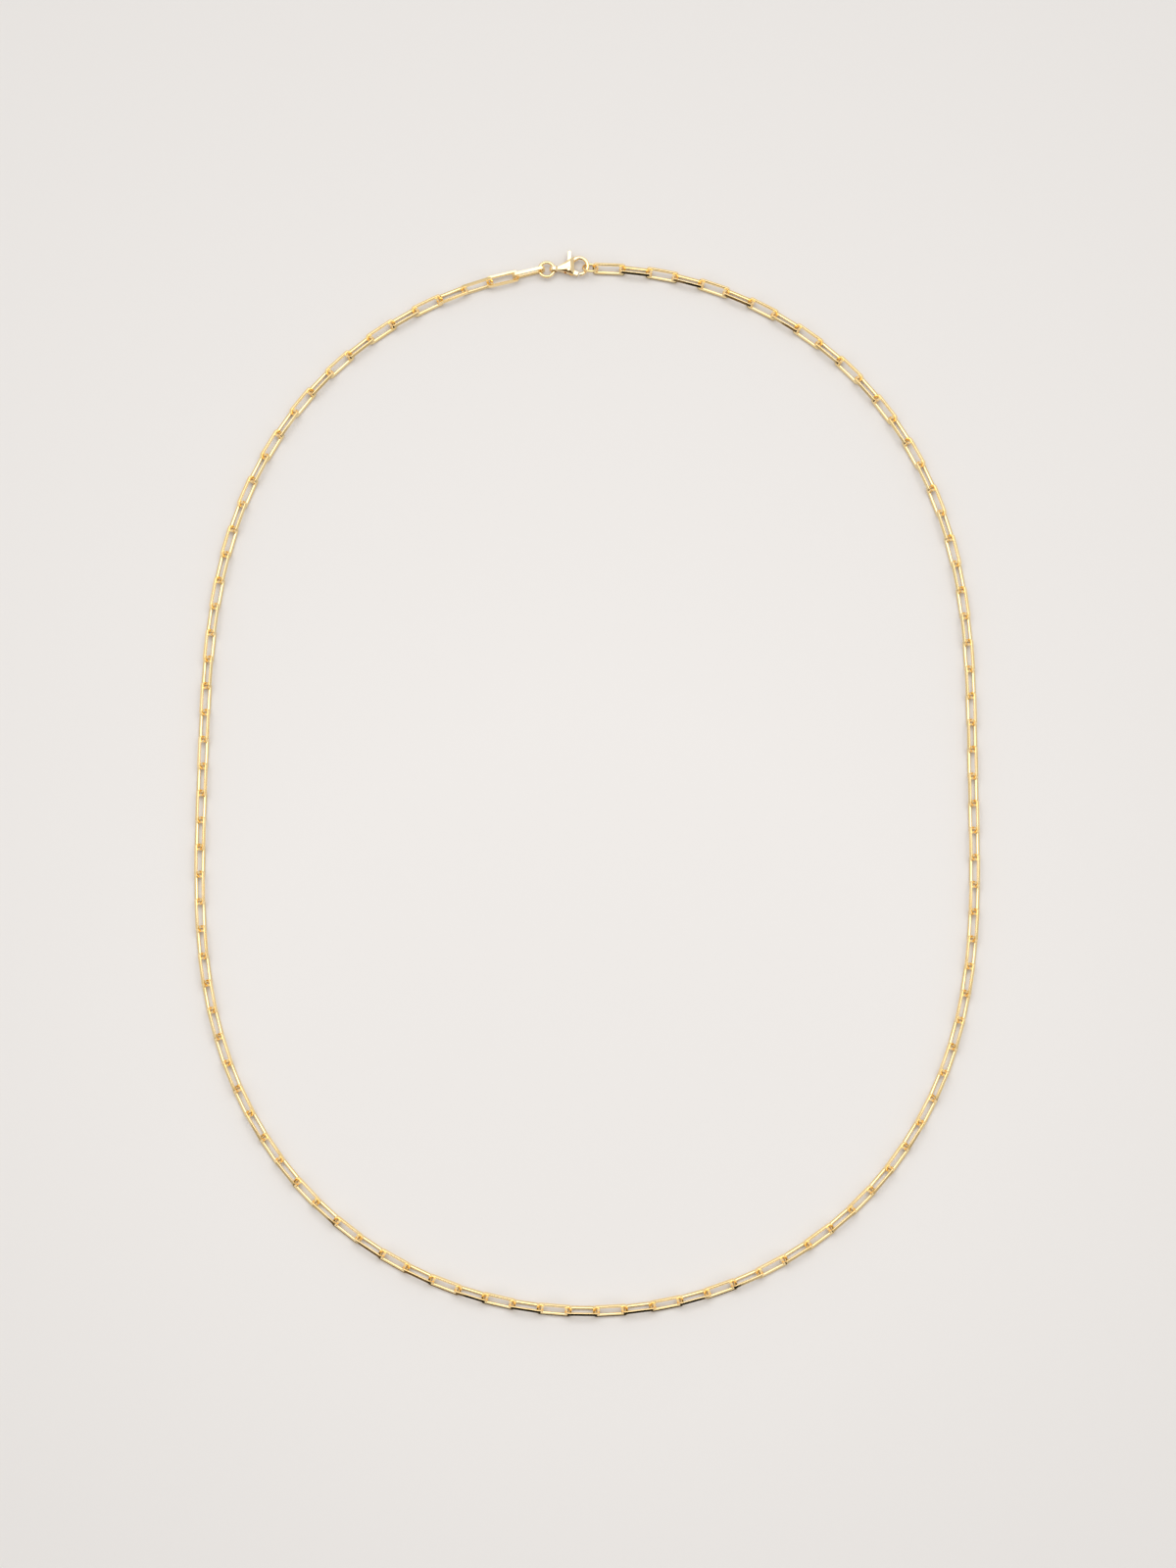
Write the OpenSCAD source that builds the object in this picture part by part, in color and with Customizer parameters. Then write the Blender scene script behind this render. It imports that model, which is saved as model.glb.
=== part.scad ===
// A gold cable chain of long rectangular links, laid down in an oval with its lobster clasp fastened.
// Millimetres. The chain lies on the plane z = 0, Y runs along the oval and the clasp is at its +Y end.
// Each link leans on one long side, the next link leans the other way, and so they hold each other.

/* [Chain] */
// Number of links between the two end rings
link_count = 107; // [81:2:131]
// Length that one link adds to the chain
link_pitch = 5.5; // [5.2:0.1:6.4]
// Outside width of a link
link_w = 2.5; // [2.4:0.05:2.6]
// Wire as seen on the face of a link
wire_face = 0.6; // [0.5:0.05:0.6]
// Wire through the thickness of a link
wire_depth = 0.62; // [0.5:0.02:0.62]
// Radius of a link's outside corners
link_corner = 0.75; // [0.7:0.05:0.85]
// Play between one link and the next
link_play = 0.15; // [0.12:0.01:0.2]
// Lean of the links, up from the surface
link_lean = 45; // [42:1:48]

/* [Rings] */
// Outside diameter of the jump ring between chain and clasp
jump_ring_d = 3.7; // [3.6:0.05:3.8]
// Wire of the jump ring
jump_ring_wire = 0.65; // [0.55:0.05:0.65]
// Height of the jump ring's middle plane over the surface
jump_ring_z = 1.15; // [1.12:0.01:1.2]
// Outside diameter of the ring that the clasp holds
end_ring_d = 3.48; // [3.4:0.02:3.48]
// Wire of that ring
end_ring_wire = 0.48; // [0.44:0.02:0.48]
// Tilt of that ring, its outer side down
end_ring_tilt = 44; // [43:1:46]

/* [Clasp] */
// Thickness of the clasp body
body_t = 2.4; // [2.3:0.05:2.5]
// Slope along the body's outer side
outer_slope = 0.5; // [0.3:0.05:0.55]
// Slope along the body's inner side
inner_slope = 0.3; // [0.2:0.05:0.4]
// Hole of the eye
eye_bore = 1.12; // [1.08:0.01:1.14]
// Outside diameter of the eye
eye_d = 1.95; // [1.9:0.05:2]
// Width of the eye
eye_w = 1; // [0.9:0.05:1]
// Radius of the hook, along the middle of its wire
hook_r = 1.8; // [1.78:0.01:1.84]
// Wire of the hook
hook_wire = 0.76; // [0.7:0.02:0.76]

/* [Lever] */
// Thickness of the lever
lever_t = 0.9; // [0.7:0.05:0.95]
// Play on each side of the lever in its slot
lever_play = 0.1; // [0.08:0.01:0.12]
// Width of the lever's gate
gate_w = 0.85; // [0.7:0.05:0.85]
// Height of the thumb tab over the pin
tab_h = 4.2; // [4:0.1:4.3]
// Width of the thumb tab's round end
tab_w = 0.66; // [0.6:0.02:0.7]
// Diameter of the pin
pin_d = 0.7; // [0.6:0.05:0.8]

/* [Hidden] */
$fn = 48;

gold = [0.93, 0.78, 0.5];
pale_gold = [0.96, 0.85, 0.62];
cut = 1;
wire_gap = link_play / 2;
pin_fit = 0.03;

// The oval: its radius swings about the mean as it goes round, and these rows say how much.
// Each row holds the number of waves in one round, then the shares of the mean radius along cosine and sine.
WAVES = 0;
COS_SHARE = 1;
SIN_SHARE = 2;
oval = [
    [1, 0.001, 0.010],
    [2, -0.156, 0.003],
    [3, -0.002, -0.006],
    [4, -0.013, 0],
];
// Turn of the clasp's middle from the oval's +Y end, and the shift that centres the whole piece.
clasp_at = -2.1;
centre_shift = [0.157, -2.795];

// Links near the jump ring turn more, because the ring lies flat.
// Each row, counted back from the ring, holds a lean and the height of the link's middle.
LEAN = 0;
HEIGHT = 1;
last_links = [
    [88, 1.32],
    [-12, 1.17],
    [62, 1.26],
    [-36, 1.06],
];

// Places along the closure, from the last link's end to the first link's end.
link_l = link_pitch + link_play + 2 * wire_face;
jump_ring_r = (jump_ring_d - jump_ring_wire) / 2;
end_ring_r = (end_ring_d - end_ring_wire) / 2;
ring_play = 0.07;
end_ring_play = 0.05;
jump_ring_u = -wire_gap - ring_play - jump_ring_wire / 2 + jump_ring_r;
eye_u = jump_ring_u + jump_ring_r;
eye_round = 0.03;
hook_at = [5.15, 0.43];
clasp_z = body_t / 2;

// The end ring hangs in the hook at its near side, and the first link's end pulls at its far side.
hook_to_ring = 0.32;
near_wire = [hook_at[0] + hook_r - (hook_wire + end_ring_wire) / 2 - hook_to_ring, 0.1];
end_ring_turn = 6;
along_ring = [cos(end_ring_turn), -sin(end_ring_turn)];
end_ring_at = near_wire + end_ring_r * along_ring;
end_ring_z = 0.12;
first_link_at = end_ring_at + (end_ring_r - end_ring_wire / 2 - wire_gap - end_ring_play) * along_ring;
closure_run = [eye_u, 0] + first_link_at;
closure = norm(closure_run);

// The last link swings out of the route towards the clasp, which needs a little room.
last_swing = 4.2;
swing_room = 0.08;

// The clasp, seen from above with its eye at the origin
neck = [0.7, 0.33];
neck_foot = [0.7, -0.3];
body_end = 4.16;
body_end_half = 0.6;
tip_turn = -104;
gate_meets = -96;
shoulder_r = 1.72;
shoulder_wire = 1;
shoulder_turn = 105;
shoulder_sweep = 45;
shoulder_taper = 0.45;
hook_root = 125;
pivot = [3, -0.45];
hub_r = 0.66;
lever_reach = 2.1;
lever_gap = 0.08;
tab_foot = [-0.45, 0.5];
tab_lean = 0.36;
slot_t = lever_t + 2 * lever_play;
pin_l = body_t - 2 * pin_fit;

// Route of the chain, measured clockwise from the middle of the +Y end.
function swing(angle, i = 0) = i == len(oval) ? 1
    : oval[i][COS_SHARE] * cos(oval[i][WAVES] * angle)
    + oval[i][SIN_SHARE] * sin(oval[i][WAVES] * angle)
    + swing(angle, i + 1);
function on_unit_oval(turn) = swing(90 - turn) * [sin(turn), cos(turn)];

route_steps = 720;
route_step = 360 / route_steps;
function route_turn(i) = clasp_at + i * route_step;
unit_route = [
    for (i = 0, s = 0;
         i <= route_steps;
         s = s + norm(on_unit_oval(route_turn(i + 1)) - on_unit_oval(route_turn(i))), i = i + 1)
        [s, route_turn(i)]
];
mean_r = (link_count * link_pitch + closure - swing_room) / unit_route[route_steps][0];
function on_route(s) = mean_r * on_unit_oval(lookup(s / mean_r, unit_route)) + centre_shift;

// Ends of the links, the first at the end ring and the last at the jump ring.
function heading(a, b) = atan2(b[1] - a[1], b[0] - a[0]);
function route_end(i) = on_route((closure - swing_room) / 2 + i * link_pitch);
last_turn = heading(route_end(link_count - 1), route_end(link_count)) + last_swing;
chain_stop = route_end(link_count - 1) + link_pitch * [cos(last_turn), sin(last_turn)];
function link_end(i) = i == link_count ? chain_stop : route_end(i);
closure_turn = heading(chain_stop, link_end(0)) - atan2(closure_run[1], closure_run[0]);

function resting_height(lean) = (link_w * sin(abs(lean)) + wire_depth * cos(lean)) / 2;
function from_last(i) = link_count - 1 - i;
function lean_of(i) = from_last(i) < len(last_links) ? last_links[from_last(i)][LEAN]
    : i % 2 == 0 ? link_lean : -link_lean;
function height_of(i) = from_last(i) < len(last_links) ? last_links[from_last(i)][HEIGHT]
    : resting_height(link_lean);

// One link and the chain
module plate(l, w, r, t) {
    linear_extrude(height = t, center = true)
        union() {
            square([l - 2 * r, w], center = true);
            square([l, w - 2 * r], center = true);
            for (x = [-1, 1], y = [-1, 1])
                translate([x * (l / 2 - r), y * (w / 2 - r)])
                    circle(r = r);
        }
}

module link() {
    difference() {
        plate(link_l, link_w, link_corner, wire_depth);
        plate(link_l - 2 * wire_face, link_w - 2 * wire_face, link_corner - wire_face, wire_depth + cut);
    }
}

module chain() {
    color(gold)
        for (i = [0 : link_count - 1]) {
            middle = (link_end(i) + link_end(i + 1)) / 2;
            translate([middle[0], middle[1], height_of(i)])
                rotate([0, 0, heading(link_end(i), link_end(i + 1))])
                    rotate([lean_of(i), 0, 0])
                        link();
        }
}

// The closure's own frame starts where the last link ends, and its X runs to the first link.
module at_closure() {
    translate([chain_stop[0], chain_stop[1], 0])
        rotate([0, 0, closure_turn])
            children();
}

module at_clasp() {
    at_closure()
        translate([eye_u, 0, clasp_z])
            children();
}

module wire_ring(r, wire) {
    rotate_extrude()
        translate([r, 0])
            circle(d = wire);
}

module jump_ring() {
    color(gold)
        at_closure()
            translate([jump_ring_u, 0, jump_ring_z])
                wire_ring(jump_ring_r, jump_ring_wire);
}

module end_ring() {
    color(gold)
        at_clasp()
            translate([end_ring_at[0], end_ring_at[1], end_ring_z])
                rotate([0, 0, -end_ring_turn])
                    rotate([-end_ring_tilt, 0, 0])
                        wire_ring(end_ring_r, end_ring_wire);
}

// The clasp's body: an eye on edge, a flat wedge that widens to the hook, and a hook of round wire
module eye_outside() {
    intersection() {
        rotate([90, 0, 0])
            cylinder(d = eye_d, h = eye_w, center = true);
        sphere(r = eye_d / 2 + eye_round);
    }
}

// The wedge's long sides run from the neck until they touch the hook's outside circle.
// Side 1 is on the left of that run, side -1 on its right.
function touch_turn(from, side) =
    heading(from, hook_at) + side * asin((hook_r + hook_wire / 2) / norm(hook_at - from));

module beside(from, side, slope) {
    half = body_t / 2;
    far = -side * 6;
    near = -side * slope;
    translate([from[0], from[1], 0])
        rotate([90, 0, 90 + touch_turn(from, side)])
            translate([0, 0, -1])
                linear_extrude(height = 8)
                    polygon([
                        [far, -half], [near, -half], [0, slope - half],
                        [0, half - slope], [near, half], [far, half],
                    ]);
}

module side_view() {
    half = body_t / 2;
    rotate([90, 0, 0])
        linear_extrude(height = 12, center = true)
            polygon([
                [0.6, 0.5], [1, 0.62], [2.6, half], [3.4, half], [body_end, body_end_half],
                [body_end, -body_end_half], [3.4, -half], [2.6, -half], [1, -0.62], [0.6, -0.5],
            ]);
}

module plan_view() {
    linear_extrude(height = body_t + cut, center = true)
        polygon([
            [0, -1], [0, 1], [body_end + cut, 4],
            [body_end + cut, 0], [body_end, -0.7], [body_end - 0.6, -2.2],
        ]);
}

module wedge() {
    intersection() {
        beside(neck, 1, outer_slope);
        beside(neck_foot, -1, inner_slope);
        side_view();
        plan_view();
    }
}

module hook() {
    difference() {
        translate([hook_at[0], hook_at[1], 0])
            rotate([0, 0, tip_turn])
                rotate_extrude(angle = hook_root - tip_turn)
                    translate([hook_r, 0])
                        circle(d = hook_wire);
        translate([pivot[0], pivot[1], 0])
            cylinder(r = lever_reach + lever_gap, h = 2, center = true);
    }
}

// The hook grows out of the body in a thicker shoulder
module shoulder() {
    translate([hook_at[0], hook_at[1], 0])
        rotate([0, 0, shoulder_turn]) {
            rotate_extrude(angle = shoulder_sweep)
                translate([shoulder_r, 0])
                    circle(d = shoulder_wire);
            translate([shoulder_r, 0, 0])
                rotate([90, 0, 0])
                    cylinder(d1 = shoulder_wire, d2 = hook_wire + 0.02, h = shoulder_taper);
        }
}

module slot() {
    linear_extrude(height = slot_t, center = true)
        polygon([[2.5, -2.5], [5.2, -2.5], [5.2, 0.1], [3.8, 0.5], [3.75, 3], [1.55, 3], [1.65, 0.8]]);
}

module pin_hole(d) {
    translate([pivot[0], pivot[1], 0])
        cylinder(d = d, h = body_t + cut, center = true);
}

module clasp_body() {
    color(pale_gold)
        at_clasp() {
            difference() {
                union() {
                    eye_outside();
                    shoulder();
                    wedge();
                }
                rotate([90, 0, 0])
                    cylinder(d = eye_bore, h = 3, center = true);
                slot();
                pin_hole(pin_d + 2 * pin_fit);
            }
            hook();
        }
}

// The lever: a hub on the pin, a gate that meets the hook's tip, and a thumb tab
module gate_outline() {
    gate_tip = hook_at + hook_r * [cos(gate_meets), sin(gate_meets)];
    intersection() {
        rotate(heading(pivot, gate_tip))
            translate([0, -gate_w / 2])
                square([lever_reach + cut, gate_w]);
        circle(r = lever_reach);
    }
}

module tab_outline() {
    tab_r = tab_w / 2;
    top = tab_h - tab_r;
    polygon([[tab_foot[0], 0], [tab_foot[1], 0], [tab_lean + tab_r, top], [tab_lean - tab_r, top]]);
    translate([tab_lean, top])
        circle(r = tab_r);
}

module clasp_lever() {
    color(pale_gold)
        at_clasp()
            difference() {
                translate([pivot[0], pivot[1], 0])
                    linear_extrude(height = lever_t, center = true) {
                        circle(r = hub_r);
                        gate_outline();
                        tab_outline();
                    }
                pin_hole(pin_d + 2 * pin_fit);
            }
}

module lever_pin() {
    color(pale_gold)
        at_clasp()
            translate([pivot[0], pivot[1], 0])
                cylinder(d = pin_d, h = pin_l, center = true);
}

chain();
jump_ring();
clasp_body();
clasp_lever();
lever_pin();
end_ring();
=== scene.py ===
# %% [markdown]
# # A gold cable chain with a lobster clasp
# The real thing is a neck chain of gold plated silver, its links about 2.4 mm wide, laid down as an oval on a pale
# sheet. The CAD model already says where each link, ring and clasp piece is. Here each of them gets the shape that a
# goldsmith's tools give it and a polished gold surface. Then it is lit as a jeweller's photographer would light it.

# %% Load the CAD frame
import math
import random

import bmesh
import bpy
from mathutils import Matrix, Vector


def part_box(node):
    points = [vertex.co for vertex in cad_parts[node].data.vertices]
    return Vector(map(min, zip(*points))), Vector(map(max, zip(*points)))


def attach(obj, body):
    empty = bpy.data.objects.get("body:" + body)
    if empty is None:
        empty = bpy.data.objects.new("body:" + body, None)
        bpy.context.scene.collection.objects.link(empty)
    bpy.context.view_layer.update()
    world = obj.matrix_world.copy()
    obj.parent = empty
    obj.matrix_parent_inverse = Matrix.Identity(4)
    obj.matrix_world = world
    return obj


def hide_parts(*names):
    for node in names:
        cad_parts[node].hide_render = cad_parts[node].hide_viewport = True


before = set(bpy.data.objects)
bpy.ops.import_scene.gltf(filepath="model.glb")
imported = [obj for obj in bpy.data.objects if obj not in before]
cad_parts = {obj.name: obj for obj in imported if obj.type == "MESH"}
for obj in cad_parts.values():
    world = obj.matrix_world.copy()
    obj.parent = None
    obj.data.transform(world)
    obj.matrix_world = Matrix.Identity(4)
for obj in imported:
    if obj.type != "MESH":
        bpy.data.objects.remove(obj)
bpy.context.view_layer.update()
MM = 0.001

# %% [markdown]
# ## A place to put finished pieces
# Every piece here is made in a bmesh. One helper turns it into an object: it closes seams, turns the faces outwards,
# shades them smooth and sets the piece on its CAD body. Edges stay sharp where faces meet at more than 40 degrees.
# The same lines could stand in every cell, but one helper keeps all the pieces alike.

# %% Helper that finishes a piece
SHARP_FROM = math.radians(40)
SEAM_GAP = 0.0002 * MM


def finish_piece(bm, name, material, body, stands_for):
    bmesh.ops.remove_doubles(bm, verts=bm.verts[:], dist=SEAM_GAP)
    bmesh.ops.recalc_face_normals(bm, faces=bm.faces[:])
    mesh = bpy.data.meshes.new(name)
    bm.to_mesh(mesh)
    bm.free()
    mesh.materials.append(material)
    mesh.shade_smooth()
    mesh.set_sharp_from_angle(angle=SHARP_FROM)
    piece = bpy.data.objects.new(name, mesh)
    bpy.context.scene.collection.objects.link(piece)
    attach(piece, body)
    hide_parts(*stands_for)
    print(name, len(mesh.vertices), "points", len(mesh.polygons), "faces")


print("edges stay sharp from", round(math.degrees(SHARP_FROM)), "degrees")

# %% [markdown]
# ## Polished gold
# Gold has no colour of its own apart from its reflection, so it is a metal with a warm tint, nearly a mirror.
# Real plating is never quite even: the polishing mop leaves long soft waves and very fine hairlines, and wear dulls the
# high edges a little. Links, rings and clasp share these effects, so each is a node group with its own inputs. Four
# small helpers make a group, add a node, spread a value over a new range, and combine two values.

# %% Node helpers
def new_group(name, inputs, outputs):
    group = bpy.data.node_groups.new(name, "ShaderNodeTree")
    for label, kind, value in inputs:
        socket = group.interface.new_socket(label, in_out="INPUT", socket_type=kind)
        if value is not None:
            socket.default_value = value
    for label, kind in outputs:
        group.interface.new_socket(label, in_out="OUTPUT", socket_type=kind)
    print("group", group.name)
    return group, group.nodes.new("NodeGroupInput"), group.nodes.new("NodeGroupOutput")


def add_node(tree, kind, **settings):
    node = tree.nodes.new(kind)
    for key, value in settings.items():
        setattr(node, key, value)
    return node


def spread(tree, value, low, high, to_low, to_high):
    node = add_node(tree, "ShaderNodeMapRange")
    tree.links.new(value, node.inputs["Value"])
    for label, number in (("From Min", low), ("From Max", high), ("To Min", to_low), ("To Max", to_high)):
        node.inputs[label].default_value = number
    return node.outputs["Result"]


def combine(tree, operation, first, second):
    node = add_node(tree, "ShaderNodeMath", operation=operation)
    tree.links.new(first, node.inputs[0])
    tree.links.new(second, node.inputs[1])
    return node.outputs[0]

# %% [markdown]
# ### Plating tone
# Plated gold shows slow drifts between a paler and a deeper yellow. A painted texture could show them, but a soft
# noise a few millimetres long, which mixes the two, needs no image and no unwrapping.

# %% Group: plating tone
DRIFTS_PER_METRE = 300.0
DRIFT_CONTRAST = (0.35, 0.65)
tone_group, tone_in, tone_out = new_group(
    "plating_tone",
    [("Position", "NodeSocketVector", None), ("Pale", "NodeSocketColor", (1, 0.8, 0.5, 1)),
     ("Deep", "NodeSocketColor", (1, 0.7, 0.36, 1)), ("Size", "NodeSocketFloat", DRIFTS_PER_METRE)],
    [("Color", "NodeSocketColor")])
drift = add_node(tone_group, "ShaderNodeTexNoise")
drift.inputs["Detail"].default_value = 2
tone_mix = add_node(tone_group, "ShaderNodeMix", data_type="RGBA")
tone_group.links.new(tone_in.outputs["Position"], drift.inputs["Vector"])
tone_group.links.new(tone_in.outputs["Size"], drift.inputs["Scale"])
tone_group.links.new(spread(tone_group, drift.outputs["Fac"], *DRIFT_CONTRAST, 0, 1), tone_mix.inputs["Factor"])
tone_group.links.new(tone_in.outputs["Pale"], tone_mix.inputs["A"])
tone_group.links.new(tone_in.outputs["Deep"], tone_mix.inputs["B"])
tone_group.links.new(tone_mix.outputs["Result"], tone_out.inputs["Color"])

# %% [markdown]
# ### Mop waves and hairlines
# The mop leaves waves under a millimetre long and so low that they only bend the reflections. Handling adds hairlines
# in two directions: a noise stretched forty times longer than wide gives them, and only its highest crests count.
# Modelled as mesh they would take millions of faces, so both are a height for a Bump node.

# %% Group: polish marks
WAVES_PER_METRE = 1500.0
HAIRLINE_TURNS = (25, 140)
HAIRLINE_TIP = (0.4, 0.3)
HAIRLINE_STRETCH = 40
HAIRLINE_NOISE = 500
HAIRLINE_CRESTS = (0.62, 0.72)
marks_group, marks_in, marks_out = new_group(
    "polish_marks",
    [("Position", "NodeSocketVector", None), ("Wave Size", "NodeSocketFloat", WAVES_PER_METRE),
     ("Wave Depth", "NodeSocketFloat", 1.0), ("Hairline Depth", "NodeSocketFloat", 0.2)],
    [("Height", "NodeSocketFloat"), ("Hairlines", "NodeSocketFloat")])
waves = add_node(marks_group, "ShaderNodeTexNoise")
waves.inputs["Detail"].default_value = 1
marks_group.links.new(marks_in.outputs["Position"], waves.inputs["Vector"])
marks_group.links.new(marks_in.outputs["Wave Size"], waves.inputs["Scale"])
lines = []
for turn in HAIRLINE_TURNS:
    stretch = add_node(marks_group, "ShaderNodeMapping")
    stretch.inputs["Rotation"].default_value = (*HAIRLINE_TIP, math.radians(turn))
    stretch.inputs["Scale"].default_value = (1, HAIRLINE_STRETCH, HAIRLINE_STRETCH)
    grain = add_node(marks_group, "ShaderNodeTexNoise")
    grain.inputs["Scale"].default_value = HAIRLINE_NOISE
    grain.inputs["Detail"].default_value = 0
    marks_group.links.new(marks_in.outputs["Position"], stretch.inputs["Vector"])
    marks_group.links.new(stretch.outputs["Vector"], grain.inputs["Vector"])
    lines.append(spread(marks_group, grain.outputs["Fac"], *HAIRLINE_CRESTS, 0, 1))
hairlines = combine(marks_group, "MAXIMUM", *lines)
wave_height = combine(marks_group, "MULTIPLY", waves.outputs["Fac"], marks_in.outputs["Wave Depth"])
line_depth = combine(marks_group, "MULTIPLY", hairlines, marks_in.outputs["Hairline Depth"])
marks_group.links.new(combine(marks_group, "SUBTRACT", wave_height, line_depth), marks_out.inputs["Height"])
marks_group.links.new(hairlines, marks_out.inputs["Hairlines"])

# %% [markdown]
# ### Dulled edges
# Edges rub on skin and cloth first. A mask for them could be painted, but Geometry's Pointiness is high on every edge
# and follows each change of the shape by itself, so it raises the roughness there. A hairline is dull too, but only
# half as much.

# %% Group: rubbed edges
EDGE_POINTINESS = (0.53, 0.62)
HAIRLINE_SHARE = 0.5
rub_group, rub_in, rub_out = new_group(
    "rubbed_edges",
    [("Polish", "NodeSocketFloat", 0.1), ("Rubbed", "NodeSocketFloat", 0.25), ("Hairlines", "NodeSocketFloat", 0.0)],
    [("Roughness", "NodeSocketFloat")])
shape = add_node(rub_group, "ShaderNodeNewGeometry")
edge = spread(rub_group, shape.outputs["Pointiness"], *EDGE_POINTINESS, 0, 1)
line_part = add_node(rub_group, "ShaderNodeMath", operation="MULTIPLY")
line_part.inputs[1].default_value = HAIRLINE_SHARE
rub_group.links.new(rub_in.outputs["Hairlines"], line_part.inputs[0])
rough_mix = add_node(rub_group, "ShaderNodeMix", data_type="FLOAT")
rub_group.links.new(combine(rub_group, "MAXIMUM", edge, line_part.outputs[0]), rough_mix.inputs["Factor"])
rub_group.links.new(rub_in.outputs["Polish"], rough_mix.inputs["A"])
rub_group.links.new(rub_in.outputs["Rubbed"], rough_mix.inputs["B"])
rub_group.links.new(rough_mix.outputs["Result"], rub_out.inputs["Roughness"])

# %% [markdown]
# ### The gold itself
# The Principled shader stays in the material, with Metallic set to 1 on its own socket. Position comes from Object
# coordinates, which are the part's own metres, so the pattern stays on the piece when the lever turns. The clasp is
# cast, so its gold is a little paler and less smooth than that of the drawn wire.

# %% Gold materials
MARK_HEIGHT = 0.004 * MM
WIRE_PALE, WIRE_DEEP = (1.0, 0.785, 0.44), (0.98, 0.735, 0.355)
CAST_PALE, CAST_DEEP = (1.0, 0.80, 0.49), (0.99, 0.755, 0.41)


def polished_gold(name, pale, deep, polish, rubbed, wave_depth, hairline_depth):
    material = bpy.data.materials.new(name)
    material.use_nodes = True
    tree = material.node_tree
    shader = tree.nodes["Principled BSDF"]
    shader.inputs["Metallic"].default_value = 1
    place = add_node(tree, "ShaderNodeTexCoord").outputs["Object"]
    tone = add_node(tree, "ShaderNodeGroup", node_tree=tone_group)
    tone.inputs["Pale"].default_value = (*pale, 1)
    tone.inputs["Deep"].default_value = (*deep, 1)
    marks = add_node(tree, "ShaderNodeGroup", node_tree=marks_group)
    marks.inputs["Wave Depth"].default_value = wave_depth
    marks.inputs["Hairline Depth"].default_value = hairline_depth
    rub = add_node(tree, "ShaderNodeGroup", node_tree=rub_group)
    rub.inputs["Polish"].default_value = polish
    rub.inputs["Rubbed"].default_value = rubbed
    bump = add_node(tree, "ShaderNodeBump")
    bump.inputs["Distance"].default_value = MARK_HEIGHT
    tree.links.new(place, tone.inputs["Position"])
    tree.links.new(place, marks.inputs["Position"])
    tree.links.new(marks.outputs["Hairlines"], rub.inputs["Hairlines"])
    tree.links.new(marks.outputs["Height"], bump.inputs["Height"])
    tree.links.new(tone.outputs["Color"], shader.inputs["Base Color"])
    tree.links.new(rub.outputs["Roughness"], shader.inputs["Roughness"])
    tree.links.new(bump.outputs["Normal"], shader.inputs["Normal"])
    print("material", material.name)
    return material


link_gold = polished_gold("polished_link_gold", WIRE_PALE, WIRE_DEEP,
                          polish=0.06, rubbed=0.20, wave_depth=1.0, hairline_depth=0.15)
ring_gold = polished_gold("polished_ring_gold", WIRE_PALE, WIRE_DEEP,
                          polish=0.08, rubbed=0.20, wave_depth=1.0, hairline_depth=0.15)
clasp_gold = polished_gold("polished_clasp_gold", CAST_PALE, CAST_DEEP,
                           polish=0.10, rubbed=0.24, wave_depth=1.4, hairline_depth=0.12)

# %% [markdown]
# ## The wire of a link
# The links are made of D-shaped wire: flat on the outside of the link and rounded on its inside. The flat side gives
# the sharp dark or white stripes, and the round side a thin bright line. Plain round wire would be quicker to make,
# but would show only the thin line. The profile is drawn once, as a loop of points. X runs from the flat face into
# the link and Z through the link's thickness.

# %% Draw the wire's profile
WIRE_FACE = 0.6 * MM
WIRE_DEPTH = 0.62 * MM
WIRE_EDGE = 0.04 * MM
FLAT_SIDE = 0.1 * MM
ROUND_STEPS = 8


def wire_profile():
    half = WIRE_DEPTH / 2
    points = [(0, WIRE_EDGE - half), (0, 0), (0, half - WIRE_EDGE), (WIRE_EDGE, half)]
    for step in range(ROUND_STEPS + 1):
        angle = math.pi * (0.5 - step / ROUND_STEPS)
        points.append((FLAT_SIDE + (WIRE_FACE - FLAT_SIDE) * math.cos(angle), half * math.sin(angle)))
    points.append((WIRE_EDGE, -half))
    return points


print("profile points", len(wire_profile()))

# %% [markdown]
# ## One link
# A chain machine bends the wire round a flat mandrel and solders it shut. A curve with this profile as its bevel
# could follow that path, but extrude and spin work as the machine does: the profile is extruded along each side and
# spun round each corner, four times, and the last ring of points is merged with the first. Five steps in a corner are
# enough at this size, and keep a link to a few hundred faces.

# %% Bend one link
LINK_LENGTH = 6.85 * MM
LINK_WIDTH = 2.44 * MM
LINK_CORNER = 0.75 * MM
CORNER_STEPS = 5
SOLDER_GAP = 0.001 * MM


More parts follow.
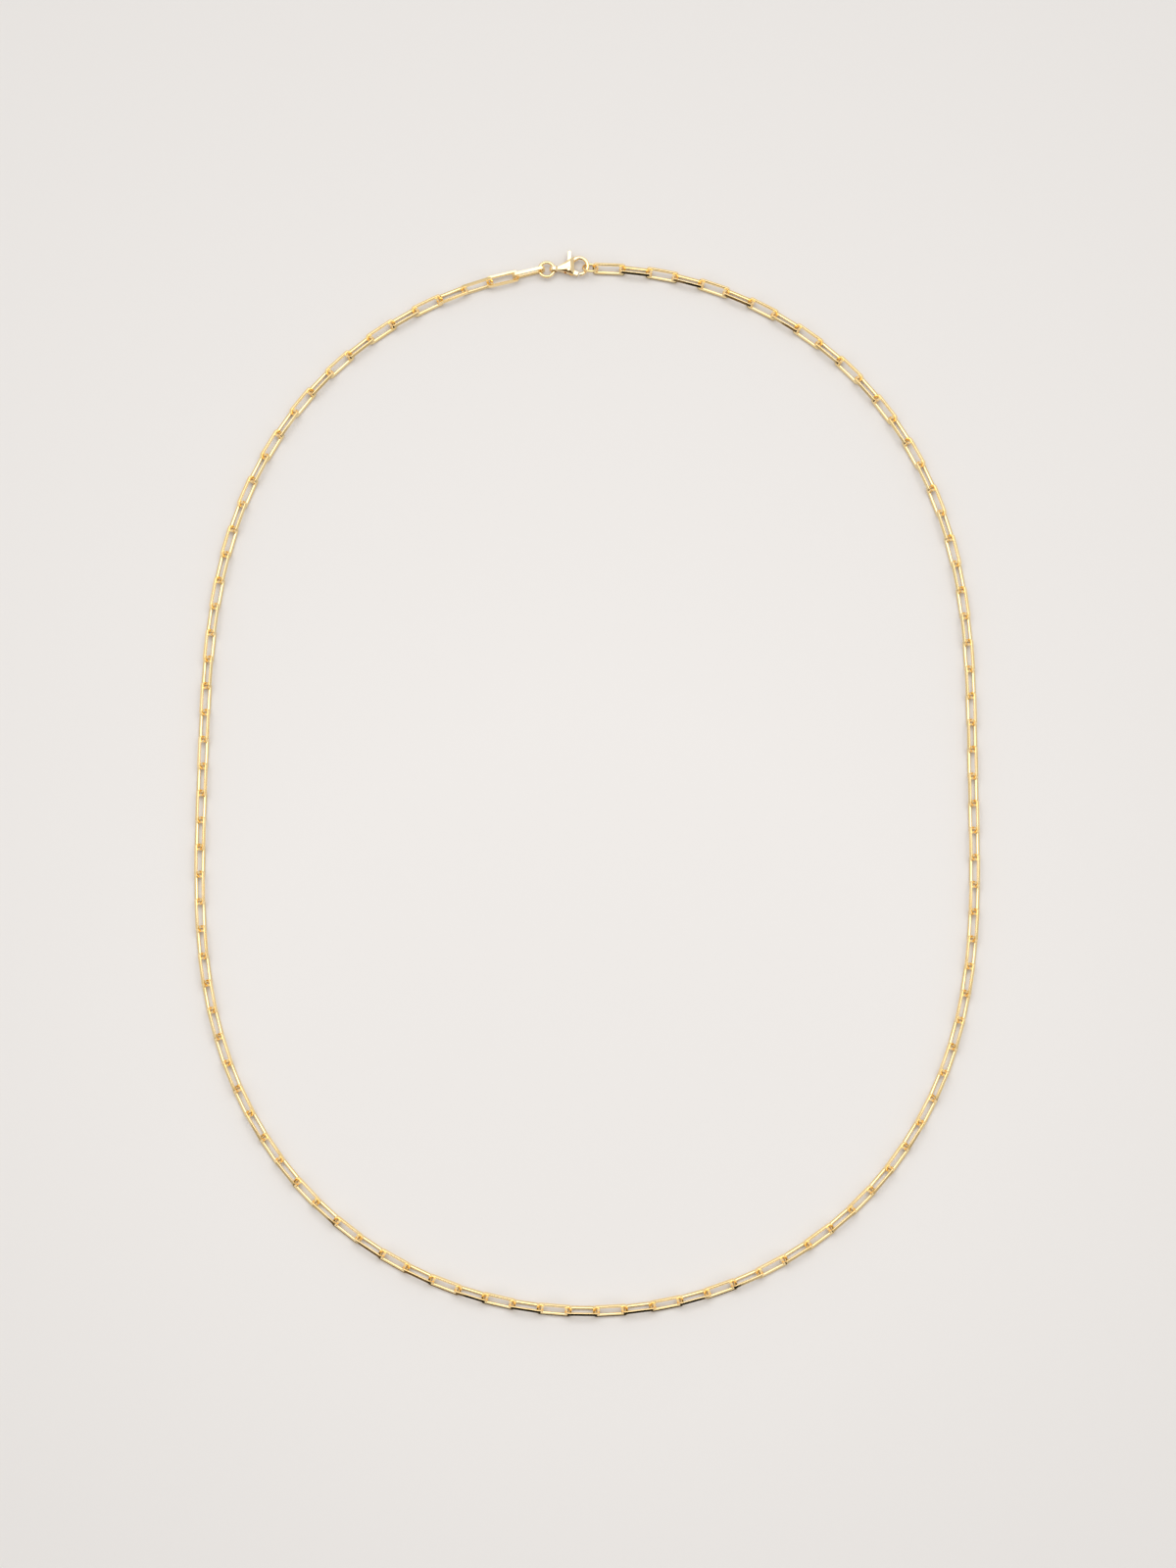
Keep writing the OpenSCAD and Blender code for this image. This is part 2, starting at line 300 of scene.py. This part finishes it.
def bend_link():
    bm = bmesh.new()
    run_x = LINK_LENGTH / 2 - LINK_CORNER
    run_y = LINK_WIDTH / 2 - LINK_CORNER
    loop = [bm.verts.new((-run_x, LINK_WIDTH / 2 - x, z)) for x, z in wire_profile()]
    edges = [bm.edges.new((a, b)) for a, b in zip(loop, loop[1:] + loop[:1])]
    corners = [(run_x, run_y, 2 * run_x), (run_x, -run_y, 2 * run_y),
               (-run_x, -run_y, 2 * run_x), (-run_x, run_y, 2 * run_y)]
    ahead = Vector((1, 0, 0))
    for x, y, run in corners:
        grown = bmesh.ops.extrude_edge_only(bm, edges=edges)["geom"]
        moved = [g for g in grown if isinstance(g, bmesh.types.BMVert)]
        bmesh.ops.translate(bm, verts=moved, vec=ahead * run)
        edges = [g for g in grown if isinstance(g, bmesh.types.BMEdge)]
        edges = [e for e in edges if all(v in moved for v in e.verts)]
        turned = bmesh.ops.spin(bm, geom=moved + edges, cent=(x, y, 0), axis=(0, 0, 1), angle=-math.pi / 2,
                                steps=CORNER_STEPS, use_merge=False)["geom_last"]
        edges = [g for g in turned if isinstance(g, bmesh.types.BMEdge)]
        ahead = Matrix.Rotation(-math.pi / 2, 3, "Z") @ ahead
    bmesh.ops.remove_doubles(bm, verts=bm.verts[:], dist=SOLDER_GAP)
    bmesh.ops.recalc_face_normals(bm, faces=bm.faces[:])
    mesh = bpy.data.meshes.new("one_link")
    bm.to_mesh(mesh)
    bm.free()
    return mesh


one_link = bend_link()
half_size = [round(max(p.co[axis] for p in one_link.vertices) / MM, 3) for axis in range(3)]
print("one link", len(one_link.polygons), "faces, half its size in mm", half_size)

# %% [markdown]
# ## Where each link lies
# The CAD chain holds a plain link at every place. The places could be worked out again from the loop's curve, but
# reading them from the CAD mesh keeps the fine links on the plain ones. A link's longest sharp edge runs along it,
# and a flat face beside that edge gives the other two directions.

# %% Read the places of the CAD links
SHARP_CORNER = 1.0
CAD_SEAM = 0.0001 * MM


def islands(bm):
    seen, found = set(), []
    for first in bm.verts:
        if first in seen:
            continue
        group, queue = [], [first]
        seen.add(first)
        while queue:
            v = queue.pop()
            group.append(v)
            for e in v.link_edges:
                w = e.other_vert(v)
                if w not in seen:
                    seen.add(w)
                    queue.append(w)
        found.append(group)
    return found


def link_place(group):
    corners = (e for v in group for e in v.link_edges if e.calc_face_angle(0) > SHARP_CORNER)
    longest = max(corners, key=lambda e: e.calc_length())
    flat = max((f for f in longest.link_faces), key=lambda f: f.calc_area()).normal
    along = longest.verts[0].co - longest.verts[1].co
    along = (along - flat * along.dot(flat)).normalized()
    sides = [flat, along.cross(flat)]
    reach = [max(v.co.dot(s) for v in group) - min(v.co.dot(s) for v in group) for s in sides]
    across, through = sides if reach[0] > reach[1] else (sides[1], -sides[0])
    middle = Vector((0, 0, 0))
    for axis in (along, across, through):
        ends = [v.co.dot(axis) for v in group]
        middle += axis * (min(ends) + max(ends)) / 2
    turn = Matrix((along, across, through)).transposed().to_4x4()
    return Matrix.Translation(middle) @ turn


plain = bmesh.new()
plain.from_mesh(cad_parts["chain"].data)
bmesh.ops.remove_doubles(plain, verts=plain.verts[:], dist=CAD_SEAM)
plain.normal_update()
link_places = [link_place(group) for group in islands(plain)]
plain.free()
print("links", len(link_places))

# %% [markdown]
# ## The chain
# Each place gets a copy of the one link. An array that follows a curve would bend the links, so they are copied one
# by one and stay rigid. A chain that is laid down keeps a slow twist: here its outer side turns up a little, most at
# the loop's near end. No link leans exactly like the next either, so each gets a small roll of its own. Each is
# lifted by as much as it or its neighbours would dip. The two end links keep their places, as the rings pass through
# them. All the links are one piece, as they are one node in the CAD model.

# %% Lay the links
ROLL = 1.5
TWIST = 5.0
end_links = (0, len(link_places) - 1)
chance = random.Random(7)
by_angle = sorted(link_places, key=lambda place: math.atan2(place.translation.x, place.translation.y) % (2 * math.pi))
laid_links = []
for number, place in enumerate(by_angle):
    outwards = place.translation.normalized()
    sense = 1 if place.col[0].to_3d().cross(outwards).z > 0 else -1
    twist = TWIST * (1 - outwards.y) / 2 * sense
    roll = 0 if number in end_links else math.radians(twist + chance.uniform(-ROLL, ROLL))
    turned = place @ Matrix.Rotation(roll, 4, "X")
    laid_links.append((turned, max(0, -min((turned @ v.co).z for v in one_link.vertices))))
chain = bmesh.new()
for number, (turned, dip) in enumerate(laid_links):
    before = len(chain.verts)
    chain.from_mesh(one_link)
    chain.verts.ensure_lookup_table()
    lift = 0 if number in end_links else max(near[1] for near in laid_links[number - 1:number + 2])
    bmesh.ops.transform(chain, matrix=Matrix.Translation((0, 0, lift)) @ turned, verts=chain.verts[before:])
print("links lifted by up to", round(max(dip for turned, dip in laid_links) / MM, 3), "mm")
finish_piece(chain, "cable_links", link_gold, "necklace", ["chain"])

# %% [markdown]
# ## Where the clasp is
# The clasp is drawn in millimetres with its eye at the origin, its hook along X and its gate towards -Y. Its place
# could be typed in, but measured on the CAD model it stays right when that changes. The pin and the jump ring are
# round, so the middles of their CAD boxes are exact, and the line from one to the other gives the clasp's turn. This
# matrix sets the drawing on the CAD clasp.

# %% The clasp's own frame
PIN_AT = Vector((3.0, -0.45, 0))
JUMP_RING_R = 1.525
JUMP_RING_AT = Vector((-JUMP_RING_R, 0, 0))


def middle(node):
    low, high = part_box(node)
    return (low + high) / 2


drawn_run = PIN_AT - JUMP_RING_AT
laid_run = middle("lever_pin") - middle("jump_ring")
clasp_turn = math.atan2(laid_run.y, laid_run.x) - math.atan2(drawn_run.y, drawn_run.x)
turn_z = Matrix.Rotation(clasp_turn, 4, "Z")
clasp_frame = Matrix.Translation(middle("lever_pin")) @ turn_z @ Matrix.Scale(MM, 4) @ Matrix.Translation(-PIN_AT)
print("clasp turned by", round(math.degrees(clasp_turn), 3), "degrees")

# %% [markdown]
# ## Plain shapes to cast from
# A founder starts from simple forms in wax: a bar whose section changes along it, a round rod, and a plate cut from
# an outline. Here a bar is a loft, rings of points joined by bridge_loops, a rod is a cone with two equal ends, and a
# plate is one face extruded. All three are closed, which remesh and boolean need.

# %% Loft, rod and plate
def loft(bm, rings):
    ends = []
    for points in rings:
        verts = [bm.verts.new(p) for p in points]
        ends.append([bm.edges.new((a, b)) for a, b in zip(verts, verts[1:] + verts[:1])])
    for near, far in zip(ends, ends[1:]):
        bmesh.ops.bridge_loops(bm, edges=near + far)
    for edges in (ends[0], ends[-1]):
        bmesh.ops.contextual_create(bm, geom=edges)


def round_rod(bm, radius, depth, at=(0, 0, 0), axis="Z", segments=48):
    turn = Matrix.Rotation(math.pi / 2, 4, "X") if axis == "Y" else Matrix()
    bmesh.ops.create_cone(bm, cap_ends=True, segments=segments, radius1=radius, radius2=radius, depth=depth,
                          matrix=Matrix.Translation(at) @ turn)


def slab(bm, outline, thickness):
    verts = [bm.verts.new((x, y, -thickness / 2)) for x, y in outline]
    face = bmesh.ops.contextual_create(bm, geom=verts)["faces"]
    grown = bmesh.ops.extrude_face_region(bm, geom=face)["geom"]
    bmesh.ops.translate(bm, verts=[g for g in grown if isinstance(g, bmesh.types.BMVert)], vec=(0, 0, thickness))


print("plain shapes ready")

# %% [markdown]
# ## Melting and cutting
# A clasp like this is cast in one piece, filed and tumbled, so its parts flow into each other. Bevels on every joint
# could round it, but they fail where three forms meet. So the plain shapes are pushed into each other, a voxel remesh
# of a few hundredths of a millimetre melts them into one skin, and smoothing rounds every edge. The slot and the
# holes are cut last, so that they stay crisp.

# %% Melt and cut
def as_object(bm, name):
    bmesh.ops.recalc_face_normals(bm, faces=bm.faces[:])
    mesh = bpy.data.meshes.new(name)
    bm.to_mesh(mesh)
    bm.free()
    thing = bpy.data.objects.new(name, mesh)
    bpy.context.scene.collection.objects.link(thing)
    return thing


def settle(thing):
    shaped = thing.evaluated_get(bpy.context.evaluated_depsgraph_get())
    result = bmesh.new()
    result.from_mesh(shaped.to_mesh())
    shaped.to_mesh_clear()
    return result


def melt(bm, voxel, smoothing):
    thing = as_object(bm, "melt")
    remesh = thing.modifiers.new("melt", "REMESH")
    remesh.mode = "VOXEL"
    remesh.voxel_size = voxel
    soften = thing.modifiers.new("tumble", "SMOOTH")
    soften.factor = 0.5
    soften.iterations = smoothing
    result = settle(thing)
    bpy.data.objects.remove(thing)
    return result


def cut(bm, cutters):
    thing = as_object(bm, "blank")
    tools = [as_object(shape, "cutter") for shape in cutters]
    for tool in tools:
        drill = thing.modifiers.new("cut", "BOOLEAN")
        drill.operation = "DIFFERENCE"
        drill.solver = "EXACT"
        drill.object = tool
    result = settle(thing)
    for used in [thing] + tools:
        bpy.data.objects.remove(used)
    return result


def cutter(make, *details):
    bm = bmesh.new()
    make(bm, *details)
    return bm


def to_clasp(bm):
    bmesh.ops.transform(bm, matrix=clasp_frame, verts=bm.verts[:])
    return bm


print("melting and cutting ready")

# %% [markdown]
# ## The hook
# A round wire 0.76 mm thick goes nearly three quarters round the opening. It leaves the body as a shoulder 1 mm thick
# and thins to the wire's size over the first bend. A bevelled curve or a torus keeps one thickness more easily than
# it changes it, so the hook is a loft of rings. Its tip is cut to the path of the gate, with 0.08 mm of air. Angles
# are in degrees, counted from X.

# %% Bend the hook
HOOK_AT = Vector((5.15, 0.43, 0))
HOOK_R, HOOK_WIRE, SHOULDER_WIRE = 1.8, 0.76, 1.0
ROOT_TURN, THICK_TO, THIN_FROM, TIP_TURN = 148, 106, 88, -104
HOOK_STEP, HOOK_POINTS = 4, 8
GATE_REACH, GATE_AIR, GATE_PATH_STEPS = 2.1, 0.08, 96
DRILL_LENGTH = 3


def ease(value):
    value = min(max(value, 0), 1)
    return value * value * (3 - 2 * value)


def hook_ring(turn):
    thick = ease((turn - THIN_FROM) / (THICK_TO - THIN_FROM))
    wire = (HOOK_WIRE + (SHOULDER_WIRE - HOOK_WIRE) * thick) / 2
    centre = HOOK_R + HOOK_WIRE / 2 - wire
    out = Vector((math.cos(math.radians(turn)), math.sin(math.radians(turn)), 0))
    up = Vector((0, 0, 1))
    around = (2 * math.pi * (k + 0.5) / HOOK_POINTS for k in range(HOOK_POINTS))
    return [HOOK_AT + out * (centre + wire * math.cos(a)) + up * wire * math.sin(a) for a in around]


hook_blank = bmesh.new()
loft(hook_blank, [hook_ring(turn) for turn in range(ROOT_TURN, TIP_TURN - 1, -HOOK_STEP)])
hook = cut(hook_blank, [cutter(round_rod, GATE_REACH + GATE_AIR, DRILL_LENGTH, PIN_AT, "Z", GATE_PATH_STEPS)])
print("hook", len(hook.faces), "faces")

# %% [markdown]
# ## The body
# From the eye's neck a flat wedge widens until its sides meet the hook's outside circle. Its two faces are flat
# triangles, filed down towards the neck and towards the opening, with a slope along each side. It could be carved
# from a cube, but with stations along the wedge every size stays a number: each is a ring of eight points, and the
# rings are lofted. Under the opening the inner side is cut short, to leave room for the gate.

# %% Shape the body
NECK_OUTER, NECK_INNER = (0.7, 0.33), (0.7, -0.30)
SIDE_SLOPE, NARROWEST_SLOPE = 0.5, 0.12
HALF_THICKNESS = 1.2
BODY_THICKNESS = [(0.5, 0.60), (1.0, 0.72), (2.6, HALF_THICKNESS), (3.4, HALF_THICKNESS), (4.16, 0.6)]
BODY_STATIONS = (0.5, 1.0, 1.5, 2.1, 2.6, 3.0, 3.4, 3.7, 3.9, 4.05, 4.16)
FOOT_AT_END, FOOT_RISE = -0.7, 2.6


def rise(start, side):
    to_hook = HOOK_AT - Vector((*start, 0))
    turn = math.atan2(to_hook.y, to_hook.x) + side * math.asin((HOOK_R + HOOK_WIRE / 2) / to_hook.length)
    return math.tan(turn), 1 / math.cos(turn)


def half_thickness(x):
    for (x0, t0), (x1, t1) in zip(BODY_THICKNESS, BODY_THICKNESS[1:]):
        if x <= x1:
            return t0 + (t1 - t0) * (x - x0) / (x1 - x0)


def body_ring(x):
    (outer_rise, outer_skew), (inner_rise, inner_skew) = rise(NECK_OUTER, 1), rise(NECK_INNER, -1)
    top = NECK_OUTER[1] + outer_rise * (x - NECK_OUTER[0])
    foot = NECK_INNER[1] + inner_rise * (x - NECK_INNER[0])
    foot = max(foot, FOOT_AT_END - FOOT_RISE * (BODY_STATIONS[-1] - x))
    half = half_thickness(x)
    slope = max(NARROWEST_SLOPE, SIDE_SLOPE - (HALF_THICKNESS - half))
    top_flat, foot_flat = top - slope * outer_skew, foot + slope * inner_skew
    outline = [(top_flat, half), (top, half - slope), (top, slope - half), (top_flat, -half),
               (foot_flat, -half), (foot, slope - half), (foot, half - slope), (foot_flat, half)]
    return [Vector((x, y, z)) for y, z in outline]


body = bmesh.new()
loft(body, [body_ring(x) for x in BODY_STATIONS])
print("body", len(body.faces), "faces")

# %% [markdown]
# ## The eye, and the casting
# The eye is a short barrel on edge. A torus would be too round for it, so a rounded band is spun about the Y axis.
# Body, eye and hook melt into one casting. Then the bore of the eye, the lever's slot and the pin's hole are cut
# through it.

# %% Cast and cut the body
EYE_BORE, EYE_OUTSIDE, EYE_WIDTH, EYE_STEPS = 1.12, 1.95, 1.0, 48
BAND_INSIDE, BAND_EDGE, BAND_BEVEL, BAND_CROWN = 0.4, 0.16, 0.03, 0.15
BAND_DROP = 0.8 * BAND_EDGE
CAST_VOXEL, CAST_SMOOTHING = 0.04, 6
SLOT = [(2.5, -2.5), (5.2, -2.5), (5.2, 0.1), (3.8, 0.5), (3.75, 3), (1.55, 3), (1.65, 0.8)]
SLOT_THICKNESS = 1.1
PIN_HOLE, PIN_DRILL_LENGTH = 0.76, 4

eye = bmesh.new()
eye_r, half_width = EYE_OUTSIDE / 2, EYE_WIDTH / 2
band = [(BAND_INSIDE, half_width), (eye_r - BAND_EDGE, half_width),
        (eye_r - BAND_BEVEL, half_width - BAND_DROP), (eye_r, BAND_CROWN)]
band += [(x, -y) for x, y in reversed(band)]
loop = [eye.verts.new((x, y, 0)) for x, y in band]
loop_edges = [eye.edges.new((a, b)) for a, b in zip(loop, loop[1:] + loop[:1])]
bmesh.ops.spin(eye, geom=loop + loop_edges, cent=(0, 0, 0), axis=(0, 1, 0), angle=2 * math.pi, steps=EYE_STEPS,
               use_merge=True)
for part in (eye, hook):
    scrap = bpy.data.meshes.new("scrap")
    part.to_mesh(scrap)
    part.free()
    body.from_mesh(scrap)
    bpy.data.meshes.remove(scrap)
casting = cut(melt(body, CAST_VOXEL, CAST_SMOOTHING), [
    cutter(slab, SLOT, SLOT_THICKNESS), cutter(round_rod, EYE_BORE / 2, DRILL_LENGTH, (0, 0, 0), "Y"),
    cutter(round_rod, PIN_HOLE / 2, PIN_DRILL_LENGTH, PIN_AT, "Z")])
finish_piece(to_clasp(casting), "cast_clasp", clasp_gold, "necklace", ["clasp_body"])

# %% [markdown]
# ## The lever
# One flat piece turns on the pin: a gate that meets the hook's tip, and a thumb tab that stands up from the outer
# side. The gate's end is an arc about the pin, and the tab narrows to a round end. One outline could hold it all, but
# a gate, a hub and a tab that overlap are easier to size, and they melt together as the body does. The bore is cut
# last.

# %% Cast the lever
LEVER_THICKNESS = 0.9
HUB_R, GATE_WIDTH = 0.66, 0.85
GATE_MEETS = math.radians(-96)
TAB_FOOT, TAB_TIP_X, TAB_HEIGHT, TAB_WIDTH, TAB_STEPS = (-0.45, 0.5), 0.36, 4.2, 0.66, 8
LEVER_VOXEL, LEVER_SMOOTHING = 0.035, 5

lever = bmesh.new()
gate_tip = HOOK_AT + HOOK_R * Vector((math.cos(GATE_MEETS), math.sin(GATE_MEETS), 0))
gate_turn = math.atan2(gate_tip.y - PIN_AT.y, gate_tip.x - PIN_AT.x)
ahead = Vector((math.cos(gate_turn), math.sin(gate_turn), 0))
side = Vector((-ahead.y, ahead.x, 0))
half_gate = GATE_WIDTH / 2
bow = math.asin(half_gate / GATE_REACH)
gate = [PIN_AT + side * half_gate * k for k in (1, -1)]
gate += [PIN_AT + GATE_REACH * (ahead * math.cos(bow * k) + side * math.sin(bow * k)) for k in (-1, -0.5, 0, 0.5, 1)]
slab(lever, [(p.x, p.y) for p in gate], LEVER_THICKNESS)
round_rod(lever, HUB_R, LEVER_THICKNESS, PIN_AT)
tab_r = TAB_WIDTH / 2
tab_top = TAB_HEIGHT - tab_r
tab = [(TAB_FOOT[0], 0), (TAB_FOOT[1], 0)]
tab += [(TAB_TIP_X + tab_r * math.cos(a), tab_top + tab_r * math.sin(a))
        for a in (math.pi * k / TAB_STEPS for k in range(TAB_STEPS + 1))]
slab(lever, [(PIN_AT.x + x, PIN_AT.y + y) for x, y in tab], LEVER_THICKNESS)
lever = cut(melt(lever, LEVER_VOXEL, LEVER_SMOOTHING),
            [cutter(round_rod, PIN_HOLE / 2, DRILL_LENGTH, PIN_AT, "Z")])
finish_piece(to_clasp(lever), "gate_lever", clasp_gold, "lever", ["clasp_lever"])

# %% [markdown]
# ## The pin
# A rivet of plain wire, filed flush with the body, so only its two ends show. A bare cylinder's rims would catch no
# light, so they are bevelled. The rims are the edges that lie level.

# %% Make the pin
PIN_R, PIN_LENGTH, PIN_EDGE, PIN_SIDES = 0.35, 2.34, 0.06, 32
LEVEL = 0.01
pin = bmesh.new()
round_rod(pin, PIN_R, PIN_LENGTH, PIN_AT, "Z", PIN_SIDES)
rims = [e for e in pin.edges if abs(e.verts[0].co.z - e.verts[1].co.z) < LEVEL]
bmesh.ops.bevel(pin, geom=rims, offset=PIN_EDGE, segments=3, profile=0.5, affect="EDGES", material=-1)
finish_piece(to_clasp(pin), "rivet_pin", clasp_gold, "necklace", ["lever_pin"])

# %% [markdown]
# ## The two rings
# Both are round wire. A torus would do for a closed ring, but a circle of points that is spun can also stop just
# short of a full turn. The jump ring needs that: it is bent shut round the eye and the last link, so its two ends
# meet in a fine seam. The end ring is soldered shut and lies tilted on the sheet, held by the hook and by the first
# link.

# %% Make the rings
RING_STEPS, RING_POINTS = 72, 20
JUMP_RING_WIRE, SEAM, SEAM_TURN, SEAM_BEVEL = 0.65, 0.03, math.radians(-70), 0.08
END_RING_R, END_RING_WIRE = 1.5, 0.477
END_RING_TILT, END_RING_TURN = math.radians(-44), math.radians(-6)


def bend_ring(radius, wire, gap=0.0, seam_turn=0.0):
    bm = bmesh.new()
    half_gap = gap / 2 / radius
    at_seam = Matrix.Rotation(seam_turn + half_gap, 4, "Z") @ Matrix.Translation((radius, 0, 0))
    upright = Matrix.Rotation(math.pi / 2, 4, "X")
    circle = bmesh.ops.create_circle(bm, segments=RING_POINTS, radius=wire / 2, matrix=at_seam @ upright)["verts"]
    edges = list({e for v in circle for e in v.link_edges})
    last = bmesh.ops.spin(bm, geom=circle + edges, cent=(0, 0, 0), axis=(0, 0, 1), angle=2 * math.pi - 2 * half_gap,
                          steps=RING_STEPS, use_merge=gap == 0)["geom_last"]
    if gap:
        for ring in (edges, [g for g in last if isinstance(g, bmesh.types.BMEdge)]):
            cap = bmesh.ops.contextual_create(bm, geom=ring)["faces"]
            bmesh.ops.inset_region(bm, faces=cap, thickness=wire * SEAM_BEVEL)
    return bm


jump_ring = bend_ring(JUMP_RING_R * MM, JUMP_RING_WIRE * MM, SEAM * MM, SEAM_TURN)
lie = Matrix.Translation(middle("jump_ring")) @ turn_z
bmesh.ops.transform(jump_ring, matrix=lie, verts=jump_ring.verts[:])
finish_piece(jump_ring, "jump_ring_wire", ring_gold, "necklace", ["jump_ring"])
end_ring = bend_ring(END_RING_R * MM, END_RING_WIRE * MM)
lie = Matrix.Translation(middle("end_ring")) @ turn_z @ Matrix.Rotation(END_RING_TURN, 4, "Z")
bmesh.ops.transform(end_ring, matrix=lie @ Matrix.Rotation(END_RING_TILT, 4, "X"), verts=end_ring.verts[:])
finish_piece(end_ring, "end_ring_wire", ring_gold, "necklace", ["end_ring"])

# %% [markdown]
# ## The camera
# The photograph was taken from above, leaning a little towards the viewer's side: the loop's far end is drawn smaller
# than its near end by a twentieth. A view from straight above would draw both alike, and a lean of 10.5 degrees from
# 0.7 m away gives the same shape.

# %% Set the camera
LEAN = math.radians(10.5)
DISTANCE = 0.715
AIM = Vector((0.157, -2.795, 0)) * MM
SENSOR_WIDTH, FOCAL_LENGTH = 36, 81.7
camera = bpy.data.objects.new("camera", bpy.data.cameras.new("camera"))
bpy.context.scene.collection.objects.link(camera)
bpy.context.scene.camera = camera
camera.data.sensor_width = SENSOR_WIDTH
camera.data.lens = FOCAL_LENGTH
camera.location = AIM + DISTANCE * Vector((0, -math.sin(LEAN), math.cos(LEAN)))
camera.rotation_euler = (LEAN, 0, 0)
print("camera at", [round(v, 4) for v in camera.location])

# %% [markdown]
# ## The sheet it lies on
# A smooth sheet, warm off-white. Its colour holds a painted light falloff: it gets a little darker away from the
# middle, where the light falls off. The lamp alone could do that, but two painted tones mixed by the distance from a
# point near the middle are easier to set. The sheet reaches so far that its edge lies near the horizon.

# %% Lay the sheet
# Painted light falloff: a painted lit tone near the middle and a painted shaded tone further out.
SHEET_PAINTED_LIT, SHEET_PAINTED_SHADE = (0.841, 0.816, 0.793, 1), (0.735, 0.713, 0.692, 1)
PAINTED_LIGHT_AT = (0, -0.06, 0)
PAINTED_FALLOFF_SPAN = (0.07, 0.27)
SHEET_HALF_SIZE = 6


def stage_plane(name, size, matrix, material):
    bm = bmesh.new()
    bmesh.ops.create_grid(bm, x_segments=1, y_segments=1, size=size, matrix=matrix)
    thing = as_object(bm, name)
    thing.data.materials.append(material)
    print("stage", thing.name, [round(v, 2) for v in thing.dimensions])
    return thing


paper = bpy.data.materials.new("off_white_sheet")
paper.use_nodes = True
sheet = paper.node_tree
sheet_shader = sheet.nodes["Principled BSDF"]
sheet_shader.inputs["Roughness"].default_value = 0.9
sheet_shader.inputs["Specular IOR Level"].default_value = 0.1
from_middle = add_node(sheet, "ShaderNodeVectorMath", operation="DISTANCE")
from_middle.inputs[1].default_value = PAINTED_LIGHT_AT
sheet.links.new(add_node(sheet, "ShaderNodeTexCoord").outputs["Object"], from_middle.inputs[0])
# This mix paints the light's falloff into the sheet's colour, darker with distance from the point.
fall = add_node(sheet, "ShaderNodeMix", data_type="RGBA")
fall.inputs["A"].default_value = SHEET_PAINTED_LIT
fall.inputs["B"].default_value = SHEET_PAINTED_SHADE
sheet.links.new(spread(sheet, from_middle.outputs["Value"], *PAINTED_FALLOFF_SPAN, 0, 1), fall.inputs["Factor"])
sheet.links.new(fall.outputs["Result"], sheet_shader.inputs["Base Color"])
stage_plane("sheet", SHEET_HALF_SIZE, Matrix(), paper)

# %% [markdown]
# ## Light
# A bright white room, a little dimmer towards the horizon, lights the gold from all round. A picture of a studio
# could wrap the scene instead, but this script reads no images, and polished gold only needs the soft change of tone.
# A large soft box behind the loop makes the shadow fall towards the viewer. The Standard view transform shows every
# tone as it is set.

# %% Light the scene
ROOM_WHITE = (1, 0.99, 0.98, 1)
HORIZON_GLOW, TOP_GLOW, TOP_FROM = 0.67, 0.78, 0.9
SOFT_BOX_SIZE, SOFT_BOX_POWER = (1.65, 0.9), 7.8
SOFT_BOX_AT, SOFT_BOX_LEAN = (0, 0.5, 1.2), math.radians(-22)
world = bpy.data.worlds.new("studio")
bpy.context.scene.world = world
world.use_nodes = True
room = world.node_tree
background = room.nodes["Background"]
background.inputs["Color"].default_value = ROOM_WHITE
height_seen = add_node(room, "ShaderNodeSeparateXYZ")
room.links.new(add_node(room, "ShaderNodeTexCoord").outputs["Generated"], height_seen.inputs["Vector"])
ceiling_glow = spread(room, height_seen.outputs["Z"], 0, TOP_FROM, HORIZON_GLOW, TOP_GLOW)
room.links.new(ceiling_glow, background.inputs["Strength"])

soft = bpy.data.lights.new("soft_box", "AREA")
soft.shape = "RECTANGLE"
soft.size, soft.size_y = SOFT_BOX_SIZE
soft.energy = SOFT_BOX_POWER
soft_box = bpy.data.objects.new("soft_box", soft)
soft_box.location = SOFT_BOX_AT
soft_box.rotation_euler = (SOFT_BOX_LEAN, 0, 0)
bpy.context.scene.collection.objects.link(soft_box)
bpy.context.scene.view_settings.view_transform = "Standard"
print("soft box", soft.size, "by", soft.size_y, "m, at", SOFT_BOX_AT)

# %% [markdown]
# ## Cards for the gold to mirror
# A polished metal in an all-white room looks like white plastic, so a photographer stands dark cards beside it. On the
# viewer's side, hidden from the camera, a black card draws the dark stripes, a brown one beside it darkens the clasp's
# flank, and a wide grey one just behind them deepens the gold of every other face that looks that way.

# %% Stand the cards
CARD_LINE, BEHIND_CARDS = -0.70, -0.701
CARD_HEIGHT = 0.44


def stand_card(name, tone, x, y, half_width):
    paint = bpy.data.materials.new(name)
    paint.use_nodes = True
    shader = paint.node_tree.nodes["Principled BSDF"]
    shader.inputs["Base Color"].default_value = (*tone, 1)
    shader.inputs["Roughness"].default_value = 1
    upright = Matrix.Rotation(math.pi / 2, 4, "X") @ Matrix.Diagonal((half_width, CARD_HEIGHT / 2, 1, 1))
    card = stage_plane(name, 1, Matrix.Translation((x, y, CARD_HEIGHT / 2)) @ upright, paint)
    card.visible_camera = False


stand_card("black_card", (0.008, 0.007, 0.006), 0, CARD_LINE, 0.28)
stand_card("brown_card", (0.16, 0.12, 0.08), -0.46, CARD_LINE, 0.18)
stand_card("grey_card", (0.60, 0.58, 0.55), 0, BEHIND_CARDS, 1.6)
